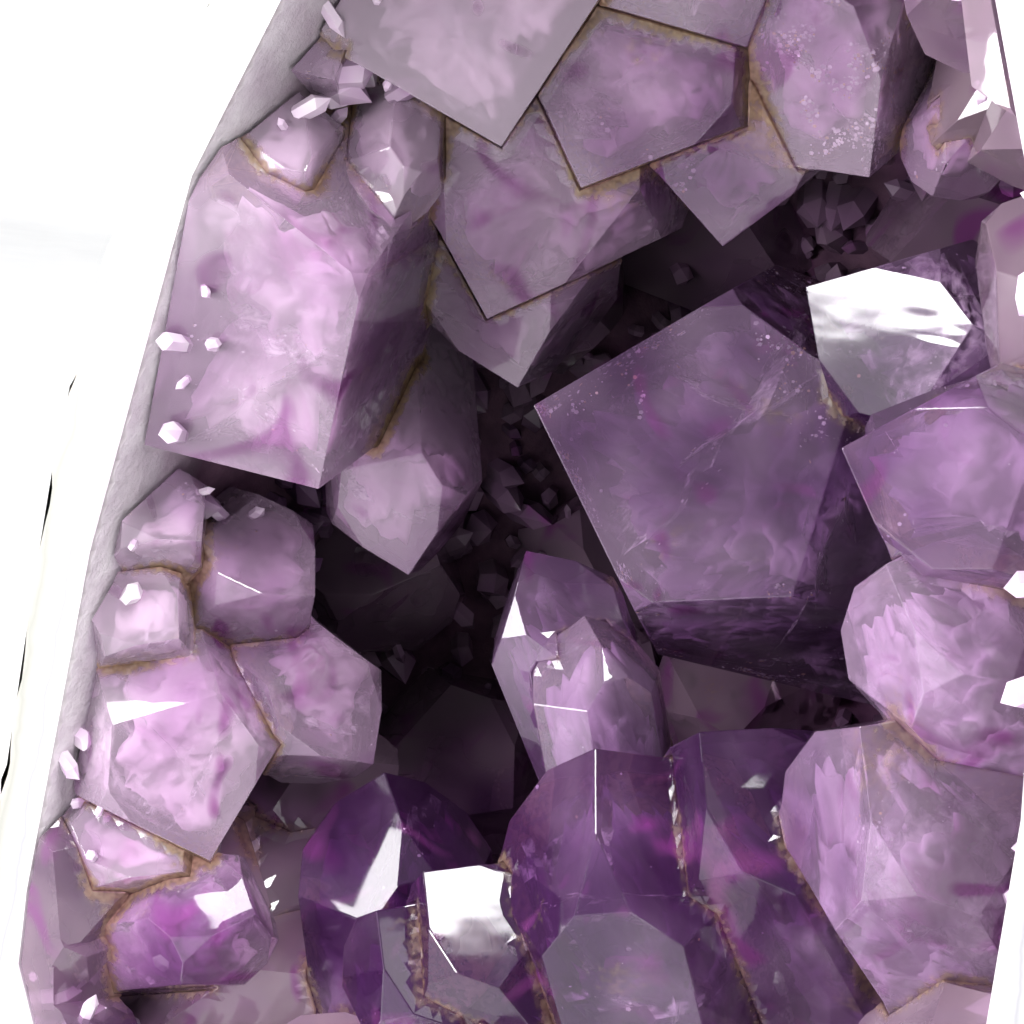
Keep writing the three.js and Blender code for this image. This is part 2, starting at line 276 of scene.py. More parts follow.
def clear_quartz(name, pale, violet, deep, magenta, strength, clear, tint, stain):
    """The outside of a crystal: clear quartz with cloudy colour and a stained seam."""
    made, tree, where, surface, out = new_material(name)
    zones = place_group(tree, COLOUR_ZONES, Vector=where, Root=attribute(tree, "root"), Pale=pale,
                        Violet=violet, Deep=deep, Magenta=magenta, Strength=toned(tree, strength))
    stained = place_group(tree, IRON_STAIN, Vector=where, Seam=attribute(tree, "seam"), Amount=stain)
    relief = place_group(tree, GROWTH_RELIEF, Vector=where, Steps=0.2)
    colour = mix_colour(tree, stained.outputs["Mask"], zones.outputs["Color"], stained.outputs["Color"])
    join(tree, colour, surface.inputs["Base Color"])
    rough = math_node(tree, "ADD", math_node(tree, "MULTIPLY", relief.outputs["Gloss"], 0.09), 0.02)
    rough = math_node(tree, "ADD", rough, math_node(tree, "MULTIPLY", stained.outputs["Mask"], 0.5), True)
    join(tree, rough, surface.inputs["Roughness"])
    surface.inputs["Metallic"].default_value = 0.0
    surface.inputs["IOR"].default_value = 1.544
    surface.inputs["Transmission Weight"].default_value = clear
    join(tree, bump(tree, relief.outputs["Height"], 0.03 * MM), surface.inputs["Normal"])
    lamp = node(tree, "ShaderNodeLightPath")
    through = node(tree, "ShaderNodeBsdfTransparent")
    through.inputs[0].default_value = (*tint, 1)
    both = node(tree, "ShaderNodeMixShader")
    join(tree, lamp.outputs["Is Shadow Ray"], both.inputs[0])
    join(tree, surface.outputs[0], both.inputs[1])
    join(tree, through.outputs[0], both.inputs[2])
    join(tree, both.outputs[0], out.inputs["Surface"])
    return made


def toned(tree, strength):
    """How violet this crystal is: its material's strength, shifted by the crystal's own tone."""
    return math_node(tree, "ADD", math_node(tree, "MULTIPLY", attribute(tree, "tone"), TONE_REACH), strength)


def milky_core(name, pale, violet, deep, magenta, strength, cover):
    """The cloudy quartz sealed inside a crystal."""
    made, tree, where, surface, out = new_material(name)
    zones = place_group(tree, COLOUR_ZONES, Vector=where, Root=attribute(tree, "root"), Pale=pale,
                        Violet=violet, Deep=deep, Magenta=magenta, Strength=toned(tree, strength))
    join(tree, zones.outputs["Color"], surface.inputs["Base Color"])
    surface.inputs["Roughness"].default_value = 0.9
    surface.inputs["Specular IOR Level"].default_value = 0.1
    if cover < 1:
        wisps = math_node(tree, "ADD", math_node(tree, "MULTIPLY", fog(tree, where, 120, 2, 1.2), 0.6),
                          math_node(tree, "MULTIPLY", fog(tree, where, 420, 1, 0.6), 0.4))
        join(tree, spread(tree, wisps, 0.66 - 0.3 * cover, 0.9 - 0.3 * cover), surface.inputs["Alpha"])
    join(tree, surface.outputs[0], out.inputs["Surface"])
    return made


def srgb(*values):
    return tuple(((v / 255 + 0.055) / 1.055) ** 2.4 if v > 10 else v / 255 / 12.92 for v in values) + (1,)


MAGENTA = srgb(150, 74, 148)
OUTSIDE = {
    "amethyst_pale": clear_quartz("amethyst_pale", srgb(218, 194, 216), srgb(176, 136, 176), srgb(126, 80, 132),
                                  MAGENTA, 0.42, 0.68, (0.93, 0.84, 0.95), 1.0),
    "amethyst_deep": clear_quartz("amethyst_deep", srgb(188, 160, 190), srgb(128, 90, 136), srgb(80, 44, 90),
                                  MAGENTA, 0.52, 0.70, (0.90, 0.79, 0.92), 0.7),
    "amethyst_lining": clear_quartz("amethyst_lining", srgb(176, 152, 168), srgb(112, 80, 112), srgb(70, 42, 78),
                                    MAGENTA, 0.56, 0.55, (0.84, 0.74, 0.86), 0.7),
}
CORE = {
    "amethyst_pale": milky_core("milky_core_pale", srgb(236, 220, 232), srgb(188, 150, 188), srgb(134, 88, 140),
                                srgb(172, 78, 160), 0.48, 1),
    "amethyst_deep": milky_core("milky_core_deep", srgb(206, 184, 208), srgb(132, 96, 142), srgb(76, 42, 88),
                                srgb(150, 66, 144), 0.58, 1),
}
VEIL = {
    "amethyst_pale": milky_core("cloud_veil_pale", srgb(246, 238, 244), srgb(208, 180, 208), srgb(160, 118, 166),
                                srgb(176, 84, 166), 0.32, 0.45),
    "amethyst_deep": milky_core("cloud_veil_deep", srgb(222, 206, 226), srgb(150, 118, 162), srgb(96, 62, 110),
                                srgb(150, 70, 150), 0.5, 0.45),
}


# ---------------------------------------------------------------- crystals
def slot_of(name):
    return SLOT_OF[name.split("_")[0]]


def merged(name, flat=math.radians(0.7)):
    """A CAD node's shape as one closed mesh with whole facets."""
    bm = bmesh.new()
    bm.from_mesh(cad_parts[name].data)
    bmesh.ops.remove_doubles(bm, verts=bm.verts, dist=2e-6)
    bmesh.ops.dissolve_limit(bm, angle_limit=flat, verts=bm.verts, edges=bm.edges)
    return bm


def tree_of(name):
    bm = bmesh.new()
    bm.from_mesh(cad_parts[name].data)
    made = BVHTree.FromBMesh(bm)
    bm.free()
    return made


TREES = {name: tree_of(name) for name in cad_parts}
BOXES = {name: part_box(name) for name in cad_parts}


def neighbours(name, reach):
    low, high = BOXES[name]
    found = []
    for other in CRYSTALS:
        a, b = BOXES[other]
        if other != name and all(a[i] < high[i] + reach and b[i] > low[i] - reach for i in range(3)):
            found.append(TREES[other])
    return found


def refine(bm, step):
    bmesh.ops.triangulate(bm, faces=bm.faces)
    for _ in range(7):
        long = [e for e in bm.edges if e.calc_length() > step]
        if not long:
            break
        bmesh.ops.subdivide_edges(bm, edges=long, cuts=1)
        bmesh.ops.triangulate(bm, faces=[f for f in bm.faces if len(f.verts) > 3])


def add_values(mesh, name, values):
    made = mesh.attributes.new(name, "FLOAT", "POINT")
    made.data.foreach_set("value", np.asarray(values, np.float32))


def distances(points, trees, reach):
    found = []
    for p in points:
        best = reach
        for t in trees:
            hit = t.find_nearest(p, best)
            if hit[0] is not None and hit[3] < best:
                best = hit[3]
        found.append(best)
    return np.array(found)


def wall_distance(points):
    tree = TREES[ROCK]
    return np.array([tree.find_nearest(p)[3] for p in points])


def keep_in_front(co):
    """Nothing grows past the sawn front."""
    co[:, 1] = np.maximum(co[:, 1], FRONT_Y + 0.02 * MM)
    return co


def new_piece(name, mesh, material, slot, *nodes):
    made = bpy.data.objects.new(name, mesh)
    bpy.context.scene.collection.objects.link(made)
    if material is not None:
        made.data.materials.clear()
        made.data.materials.append(material)
    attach(made, BODY)
    if nodes:
        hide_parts(*nodes)
    return made


def tone_of(name):
    """The crystals of the clusters take a tone by their number."""
    return TONE.get(name, 0.45 * math.sin(2.4 * CRYSTALS.index(name)))


def coordinates(mesh):
    co = np.empty(len(mesh.vertices) * 3, np.float32)
    mesh.vertices.foreach_get("co", co)
    return co.reshape(-1, 3)


def point_normals(mesh):
    normals = np.empty(len(mesh.vertices) * 3, np.float32)
    mesh.vertices.foreach_get("normal", normals)
    return normals.reshape(-1, 3)


def move_points(mesh, co):
    mesh.vertices.foreach_set("co", np.ascontiguousarray(co, np.float32).ravel())
    mesh.update()


def crystal_piece(name):
    """A crystal as it grew: flat facets, ridges a little rubbed down, and its seams grown shut."""
    bm = merged(name)
    ridges = [e for e in bm.edges if len(e.link_faces) == 2 and e.calc_face_angle(0) > math.radians(12)]
    bmesh.ops.bevel(bm, geom=ridges, offset=RIDGE_WIDTH, offset_type="OFFSET", segments=2, profile=0.6,
                    affect="EDGES", clamp_overlap=True, miter_outer="SHARP")
    refine(bm, FACET_STEP)
    mesh = bpy.data.meshes.new(name + "_grown")
    bm.to_mesh(mesh)
    bm.free()
    co = coordinates(mesh)
    points = [Vector(p) for p in co]
    seam = 1 - distances(points, neighbours(name, SEAM_REACH), SEAM_REACH) / SEAM_REACH
    add_values(mesh, "root", np.clip(1 - wall_distance(points) / ROOT_LENGTH, 0, 1))
    add_values(mesh, "seam", seam)
    add_values(mesh, "tone", np.full(len(co), tone_of(name)))
    touching = np.clip((seam - 0.6) / 0.12, 0, 1) * SEAM_CLOSED * (co[:, 1] > FRONT_Y + 0.2 * MM)
    move_points(mesh, co + point_normals(mesh) * touching[:, None])
    slot = slot_of(name)
    return new_piece(name + "_grown", mesh, OUTSIDE[slot], slot, name)


def inner_body(name, label, depth, step, lump, material):
    """Cloudy quartz a set depth inside a crystal, parallel to its facets like an earlier stage of its growth."""
    bm = merged(name)
    refine(bm, step)
    mesh = bpy.data.meshes.new(label)
    bm.to_mesh(mesh)
    bm.free()
    tree = TREES[name]
    co = coordinates(mesh)
    low, high = BOXES[name]
    centre = Vector(co.mean(0))
    share = 1 - 2 * depth / min(high - low)
    for i, p in enumerate([Vector(p) for p in co]):
        wave = noise.fractal(p * 130, 0.6, 2.1, 4)
        q = centre + (p - centre) * (share + lump * depth / min(high - low) * 2 * wave)
        for _ in range(6):
            if depth_in(tree, q) > depth * 0.45:
                break
            q = q.lerp(centre, 0.18)
        co[i] = q
    move_points(mesh, co)
    for f in mesh.polygons:
        f.use_smooth = True
    add_values(mesh, "root", np.clip(1 - wall_distance([Vector(p) for p in co]) / ROOT_LENGTH, 0, 1))
    add_values(mesh, "tone", np.full(len(co), tone_of(name)))
    return new_piece(label, mesh, material, slot_of(name))


def depth_in(tree, p):
    """How deep inside a closed shape a point is, or below zero outside it."""
    crossed, at = 0, p
    while crossed < 12:
        place = tree.ray_cast(at, OUTWARD)[0]
        if place is None:
            break
        crossed += 1
        at = place + OUTWARD * 1e-6
    away = tree.find_nearest(p)[3]
    return away if crossed % 2 else -away


for crystal in CRYSTALS:
    crystal_piece(crystal)
for crystal in LARGE:
    low, high = BOXES[crystal]
    size = sorted(high - low)[0]
    slot = slot_of(crystal)
    inner_body(crystal, crystal + "_core", max(1.4 * MM, 0.15 * size), 1.8 * MM, 0.9, CORE[slot])
    if size > 15 * MM:
        inner_body(crystal, crystal + "_cloud", max(0.7 * MM, 0.06 * size), 2.2 * MM, 0.7, VEIL[slot])


# ---------------------------------------------------------------- small things grown by rule
def growth_tree(name, inputs):
    tree = bpy.data.node_groups.new(name, "GeometryNodeTree")
    socket(tree, "Geometry", "Geometry")
    for label, kind, value in inputs:
        socket(tree, label, kind, "INPUT", value)
    socket(tree, "Geometry", "Geometry", "OUTPUT")
    return tree, node(tree, "NodeGroupInput").outputs, node(tree, "NodeGroupOutput").inputs


def named(tree, name, kind="FLOAT"):
    made = node(tree, "GeometryNodeInputNamedAttribute", data_type=kind)
    made.inputs["Name"].default_value = name
    return made.outputs["Attribute"]


def random_vector(tree, low, high, seed, shift):
    made = node(tree, "FunctionNodeRandomValue", data_type="FLOAT_VECTOR")
    for index, value in ((0, low), (1, high)):
        if isinstance(value, bpy.types.NodeSocket):
            join(tree, value, made.inputs[index])
        else:
            made.inputs[index].default_value = value
    join(tree, math_node(tree, "ADD", seed, shift), made.inputs["Seed"])
    return made.outputs[0]


def finish_growth(tree, points, template, rotation, scale, material, out):
    stood = node(tree, "GeometryNodeInstanceOnPoints")
    held = node(tree, "GeometryNodeObjectInfo")
    join(tree, template, held.inputs["Object"])
    held.inputs["As Instance"].default_value = True
    join(tree, points, stood.inputs["Points"])
    join(tree, held.outputs["Geometry"], stood.inputs["Instance"])
    join(tree, rotation, stood.inputs["Rotation"])
    join(tree, scale, stood.inputs["Scale"])
    real = node(tree, "GeometryNodeRealizeInstances")
    join(tree, stood.outputs[0], real.inputs[0])
    dressed = node(tree, "GeometryNodeSetMaterial")
    join(tree, real.outputs[0], dressed.inputs["Geometry"])
    join(tree, material, dressed.inputs["Material"])
    join(tree, dressed.outputs[0], out["Geometry"])


def druse_tree():
    """Small points stand all over a surface, leaning a little, as thick as its druse value says."""
    tree, given, out = growth_tree("druse", [
        ("Point", "Object", None), ("Material", "Material", None), ("Spacing", "Float", 0.003),
        ("Most", "Float", 90000.0), ("Smallest", "Float", 0.0015), ("Largest", "Float", 0.004),
        ("Lean", "Float", 0.5), ("Seed", "Int", 1)])
    sown = node(tree, "GeometryNodeDistributePointsOnFaces", distribute_method="POISSON")
    join(tree, given["Geometry"], sown.inputs["Mesh"])
    join(tree, given["Spacing"], sown.inputs["Distance Min"])
    join(tree, given["Most"], sown.inputs["Density Max"])
    join(tree, named(tree, "druse"), sown.inputs["Density Factor"])
    join(tree, given["Seed"], sown.inputs["Seed"])
    lean = node(tree, "ShaderNodeCombineXYZ")
    join(tree, given["Lean"], lean.inputs[0])
    join(tree, given["Lean"], lean.inputs[1])
    lean.inputs[2].default_value = math.pi
    back = node(tree, "ShaderNodeVectorMath", operation="SCALE")
    join(tree, lean.outputs[0], back.inputs[0])
    back.inputs["Scale"].default_value = -1
    turned = node(tree, "FunctionNodeEulerToRotation")
    join(tree, random_vector(tree, back.outputs[0], lean.outputs[0], given["Seed"], 3), turned.inputs[0])
    rotation = node(tree, "FunctionNodeRotateRotation", rotation_space="LOCAL")
    join(tree, sown.outputs["Rotation"], rotation.inputs[0])
    join(tree, turned.outputs[0], rotation.inputs[1])
    size = node(tree, "ShaderNodeMapRange", clamp=False)
    chance = node(tree, "FunctionNodeRandomValue", data_type="FLOAT")
    join(tree, math_node(tree, "ADD", given["Seed"], 5), chance.inputs["Seed"])
    join(tree, math_node(tree, "POWER", chance.outputs[1], 2.0), size.inputs[0])
    join(tree, given["Smallest"], size.inputs[3])
    join(tree, given["Largest"], size.inputs[4])
    scale = node(tree, "ShaderNodeVectorMath", operation="SCALE")
    join(tree, random_vector(tree, (0.85, 0.85, 0.7), (1.25, 1.25, 1.3), given["Seed"], 7), scale.inputs[0])
    join(tree, size.outputs[0], scale.inputs["Scale"])
    finish_growth(tree, sown.outputs["Points"], given["Point"], rotation.outputs[0], scale.outputs[0],
                  given["Material"], out)
    return tree


def fleck_tree():
    """A thin plate lies at each point, turned and sized as the point says."""
    tree, given, out = growth_tree("flecks", [("Plate", "Object", None), ("Material", "Material", None),
                                              ("Size", "Float", 1.0)])
    turned = node(tree, "FunctionNodeEulerToRotation")
    join(tree, named(tree, "turn", "FLOAT_VECTOR"), turned.inputs[0])
    size = math_node(tree, "MULTIPLY", named(tree, "size"), given["Size"])
    scale = node(tree, "ShaderNodeCombineXYZ")
    for index in range(3):
        join(tree, size, scale.inputs[index])
    finish_growth(tree, given["Geometry"], given["Plate"], turned.outputs[0], scale.outputs[0],
                  given["Material"], out)
    return tree


def quartz_point():
    """One small point, a unit long: a six-sided prism with an uneven tip and a buried foot."""
    bm = bmesh.new()
    rings = []
    for height, grow in ((-0.3, 0.9), (0.5, 1.0)):
        rings.append([bm.verts.new((0.3 * grow * math.cos(a), 0.3 * grow * math.sin(a),
                                    height + (0.07 * math.cos(3 * k) if height > 0 else 0)))
                      for k, a in enumerate(math.radians(60 * k) for k in range(6))])
    tip = bm.verts.new((0.05, 0.03, 0.9))
    bm.faces.new(list(reversed(rings[0])))
    for k in range(6):
        n = (k + 1) % 6
        bm.faces.new((rings[0][k], rings[0][n], rings[1][n], rings[1][k]))
        bm.faces.new((rings[1][k], rings[1][n], tip))
    return bm


def thin_plate():
    """One fleck, a unit wide: an uneven five-sided plate."""
    bm = bmesh.new()
    outline = [(0.5, 0.05), (0.16, 0.43), (-0.4, 0.24), (-0.34, -0.3), (0.24, -0.4)]
    low = [bm.verts.new((x, y, -0.05)) for x, y in outline]
    high = [bm.verts.new((0.9 * x, 0.9 * y, 0.05)) for x, y in outline]
    bm.faces.new(list(reversed(low)))
    bm.faces.new(high)
    for k in range(5):
        n = (k + 1) % 5
        bm.faces.new((low[k], low[n], high[n], high[k]))
    return bm


def template(name, bm):
    mesh = bpy.data.meshes.new(name)
    bm.to_mesh(mesh)
    bm.free()
    return bpy.data.objects.new(name, mesh)


def grow(label, carrier, tree, values, material, slot):
    """Runs a growth tree on a carrier mesh and keeps the result as a plain piece."""
    scratch = bpy.data.objects.new(label + "_carrier", carrier)
    bpy.context.scene.collection.objects.link(scratch)
    grown = scratch.modifiers.new(tree.name, "NODES")
    grown.node_group = tree
    values = dict(values, Material=material)
    for item in tree.interface.items_tree:
        if item.item_type == "SOCKET" and item.in_out == "INPUT" and item.name in values:
            grown[item.identifier] = values[item.name]
    bpy.context.view_layer.update()
    made = bpy.data.meshes.new_from_object(scratch.evaluated_get(bpy.context.evaluated_depsgraph_get()))
    bpy.data.objects.remove(scratch)
    made.name = label
    count = len(made.vertices)
    co = np.empty(count * 3, np.float32)
    made.vertices.foreach_get("co", co)
    co = keep_in_front(co.reshape(-1, 3))
    made.vertices.foreach_set("co", co.ravel())
    made.update()
    points = [Vector(p) for p in co]
    add_values(made, "root", np.clip(1 - wall_distance(points) / ROOT_LENGTH, 0, 1))
    # rim: closeness to the sawn front, where the druse is painted pale as painted light from the opening
    add_values(made, "rim", np.clip(1 - (co[:, 1] - FRONT_Y) / RIM_DEPTH, 0, 1) ** 0.7)
    print(label, len(made.polygons), "faces")
    return new_piece(label, made, material, slot)


def druse_quartz():
    """Small points: painted nearly white at the rim, as painted light from the opening; dark violet in the depth of the
    hollow, from their own colour zones.
    """
    made, tree, where, surface, out = new_material("druse_quartz")
    zones = place_group(tree, COLOUR_ZONES, Vector=where, Root=0.0, Pale=srgb(170, 146, 164), Violet=srgb(112, 84, 112),
                        Deep=srgb(66, 40, 74), Magenta=MAGENTA, Strength=0.5)
    # Painted light: near the sawn rim the points are painted nearly white, as lit by the light coming in at the
    # opening.
    pale = ramp(tree, fog(tree, where, 260, 1), [(0.3, srgb(206, 172, 208)), (0.5, srgb(226, 204, 226)), (0.7, srgb(240, 228, 238))])
    join(tree, mix_colour(tree, attribute(tree, "rim"), zones.outputs["Color"], pale), surface.inputs["Base Color"])
    relief = place_group(tree, GROWTH_RELIEF, Vector=where, Steps=0.1)
    join(tree, math_node(tree, "ADD", math_node(tree, "MULTIPLY", relief.outputs["Gloss"], 0.12), 0.05),
         surface.inputs["Roughness"])
    surface.inputs["IOR"].default_value = 1.544
    surface.inputs["Transmission Weight"].default_value = 0.0
    join(tree, surface.outputs[0], out.inputs["Surface"])
    return made


DRUSE_QUARTZ = druse_quartz()
DRUSE = druse_tree()
FLECKS = fleck_tree()
POINT = template("point_template", quartz_point())
PLATE = template("plate_template", thin_plate())


def inside_wall_mesh():
    """The hollow's wall, with how thickly the druse covers it."""
    bm = merged(ROCK, math.radians(0.3))
    centre = hollow_centre()
    bmesh.ops.delete(bm, context="FACES", geom=[
        f for f in bm.faces if f.normal.dot(f.calc_center_median() - centre) > 0
        or f.calc_center_median().y < FRONT_Y + 0.1 * MM])
    refine(bm, 4 * MM)
    mesh = bpy.data.meshes.new("wall_carrier")
    bm.to_mesh(mesh)
    bm.free()
    back = (coordinates(mesh)[:, 1] - FRONT_Y) / MM
    add_values(mesh, "druse", np.where(back < 2, 0.0, np.clip(back / 22, 0.08, 1.0)))
    return mesh


def hollow_centre():
    low, high = BOXES[ROCK]
    return Vector(((low.x + high.x) / 2, low.y, (low.z + high.z) / 2))


def crystal_sides_mesh():
    """The sides of the crystals near their roots, where small points grow too."""
    whole = bmesh.new()
    for name in CRYSTALS:
        part = merged(name)
        refine(part, 3 * MM)
        mesh = bpy.data.meshes.new("side")
        part.to_mesh(mesh)
        part.free()
        whole.from_mesh(mesh)
        bpy.data.meshes.remove(mesh)
    mesh = bpy.data.meshes.new("sides_carrier")
    whole.to_mesh(mesh)
    whole.free()
    thick = []
    for v in mesh.vertices:
        place, _, _, away = TREES[ROCK].find_nearest(v.co)
        facing = (place - v.co).normalized().dot(v.normal)
        thick.append(0.0 if facing > 0.25 or away < 1 * MM else max(0.0, min(1.0, (9 * MM - away) / (7 * MM))) ** 2)
    add_values(mesh, "druse", thick)
    return mesh


grow("wall_druse", inside_wall_mesh(), DRUSE,
     {"Point": POINT, "Spacing": 1.9 * MM, "Smallest": 2.4 * MM, "Largest": 6.0 * MM, "Lean": 0.5, "Seed": 11},
     DRUSE_QUARTZ, "druse")
grow("root_druse", crystal_sides_mesh(), DRUSE,
     {"Point": POINT, "Spacing": 2.4 * MM, "Smallest": 1.2 * MM, "Largest": 4.5 * MM, "Lean": 0.5, "Seed": 23},
     DRUSE_QUARTZ, "druse")


def fleck_material(name, pale, dark):
    made, tree, where, surface, out = new_material(name)
    join(tree, ramp(tree, fog(tree, where, 800, 0), [(0.3, dark), (0.6, pale)]), surface.inputs["Base Color"])
    surface.inputs["Roughness"].default_value = 0.22
    surface.inputs["Specular IOR Level"].default_value = 0.9
    join(tree, surface.outputs[0], out.inputs["Surface"])
    return made


# crystal: cracks, flecks on each crack, flecks just under the facets
FLAWS = {
    "right_crystal_largest": (8, 420, 4600),
    "roof_crystal_speckled": (4, 260, 2400),
    "roof_crystal_violet": (3, 240, 1200),
    "roof_crystal_high": (3, 160, 160),
    "roof_crystal_middle": (3, 140, 60),
    "roof_crystal_low": (2, 120, 50),
    "roof_crystal_largest": (6, 140, 60),
    "roof_crystal_dark": (3, 120, 160),
    "left_crystal_largest": (9, 200, 160),
    "right_crystal_upper": (3, 120, 120),
    "floor_crystal_large": (3, 120, 60),
    "floor_crystal_right": (3, 120, 60),
    "right_crystal_near": (3, 120, 60),
}
FEW_FLAWS = (2, 60, 20)


def crack_sheet(sheet, tree, middle, across, side, other, reach):
    """A healed crack: a thin wavy sheet that stops short of the facets."""
    steps = 15
    grid = {}
    for i in range(steps + 1):
        for j in range(steps + 1):
            p = middle + side * (reach * (2 * i / steps - 1)) + other * (reach * (2 * j / steps - 1))
            p += across * (1.3 * MM * noise.noise(p * 150))
            if noise.noise(p * 130 + Vector((3, 1, 4))) > -0.25 and depth_in(tree, p) > 0.5 * MM:
                grid[i, j] = sheet.verts.new(p)
    for i in range(steps):
        for j in range(steps):
            corners = [grid.get(at) for at in ((i, j), (i + 1, j), (i + 1, j + 1), (i, j + 1))]
            if None not in corners:
                sheet.faces.new(corners)


def crack_points(name, rng, tree, cracks, each, skin, sheet):
    """Where the flecks lie: on wavy healed cracks through the crystal, and in clumps under its facets."""
    low, high = BOXES[name]
    size = min(high - low)
    spots = []
    for _ in range(cracks):
        for _ in range(60):
            middle = Vector([rng.uniform(low[i], high[i]) for i in range(3)])
            if depth_in(tree, middle) > 0.16 * size:
                break
        across = Vector([rng.gauss(0, 1) for _ in range(3)]).normalized()
        side = across.orthogonal().normalized()
        other = across.cross(side)
        reach = size * rng.uniform(0.35, 0.75)
        crack_sheet(sheet, tree, middle, across, side, other, reach)
        for _ in range(each * 3):
            u, v = rng.uniform(-1, 1) * reach, rng.uniform(-1, 1) * reach
            p = middle + side * u + other * v
            p += across * (1.3 * MM * noise.noise(p * 150))
            if noise.noise(p * 260) + 0.5 * noise.noise(p * 900) > 0.02 and depth_in(tree, p) > 0.5 * MM:
                spots.append((p, across, (0.08 + 0.4 * rng.random() ** 3) * MM))
    bm = merged(name)
    bmesh.ops.triangulate(bm, faces=bm.faces)
    faces = [f for f in bm.faces if f.normal.y < 0.1]
    weights = [f.calc_area() for f in faces]
    for _ in range(skin * 4):
        f = rng.choices(faces, weights)[0]
        a, b = sorted((rng.random(), rng.random()))
        v = [x.co for x in f.verts]
        p = v[0] * a + v[1] * (b - a) + v[2] * (1 - b)
        if noise.noise(p * 95 + Vector((5, 3, 9))) > 0.16 and noise.noise(p * 380) > 0.05:
            p = p - f.normal * rng.uniform(0.35, 1.4) * MM
            if depth_in(tree, p) > 0.25 * MM:
                spots.append((p, f.normal.copy(), (0.09 + 0.5 * rng.random() ** 3) * MM))
    bm.free()
    return spots


def sparkle():
    rng = random.Random(41)
    white, gold = [], []
    sheet = bmesh.new()
    for name in LARGE:
        cracks, each, skin = FLAWS.get(name, FEW_FLAWS)
        for spot in crack_points(name, rng, TREES[name], cracks, each, skin, sheet):
            (gold if rng.random() < 0.16 else white).append(spot)
    for label, spots, material in (
            ("white_flecks", white, fleck_material("white_fleck", (0.95, 0.93, 0.95), (0.75, 0.70, 0.78))),
            ("gold_flecks", gold, fleck_material("gold_fleck", (0.90, 0.70, 0.42), (0.62, 0.40, 0.2)))):
        carrier = bpy.data.meshes.new(label)
        carrier.from_pydata([tuple(p) for p, _, _ in spots], [], [])
        add_values(carrier, "size", [size for _, _, size in spots])
        turns = carrier.attributes.new("turn", "FLOAT_VECTOR", "POINT")
        flat = []
        for _, across, _ in spots:
            tilt = across + Vector([rng.gauss(0, 0.25) for _ in range(3)])
            flat.extend(tilt.to_track_quat("Z", "Y").to_euler())
        turns.data.foreach_set("vector", flat)
        grow(label, carrier, FLECKS, {"Plate": PLATE, "Size": 1.0}, material, "druse")
    bmesh.ops.delete(sheet, context="VERTS", geom=[v for v in sheet.verts if not v.link_faces])
    mesh = bpy.data.meshes.new("healed_cracks")
    sheet.to_mesh(mesh)
    sheet.free()
    for f in mesh.polygons:
        f.use_smooth = True
    piece = new_piece("healed_cracks", mesh, crack_material(), "druse")
    solid = piece.modifiers.new("thickness", "SOLIDIFY")
    solid.thickness = 0.03 * MM


def crack_material():
    made, tree, where, surface, out = new_material("healed_crack")
    fine = fog(tree, where, 700, 2, 0.8)
    join(tree, ramp(tree, fine, [(0.35, srgb(186, 160, 192)), (0.65, srgb(244, 238, 244))]),
         surface.inputs["Base Color"])
    wisps = math_node(tree, "ADD", math_node(tree, "MULTIPLY", fog(tree, where, 210, 2, 1.0), 0.65),
                      math_node(tree, "MULTIPLY", fine, 0.35))
    join(tree, math_node(tree, "MULTIPLY", spread(tree, wisps, 0.45, 0.63), 0.85), surface.inputs["Alpha"])
    surface.inputs["Roughness"].default_value = 0.3
    join(tree, surface.outputs[0], out.inputs["Surface"])
    return made


sparkle()


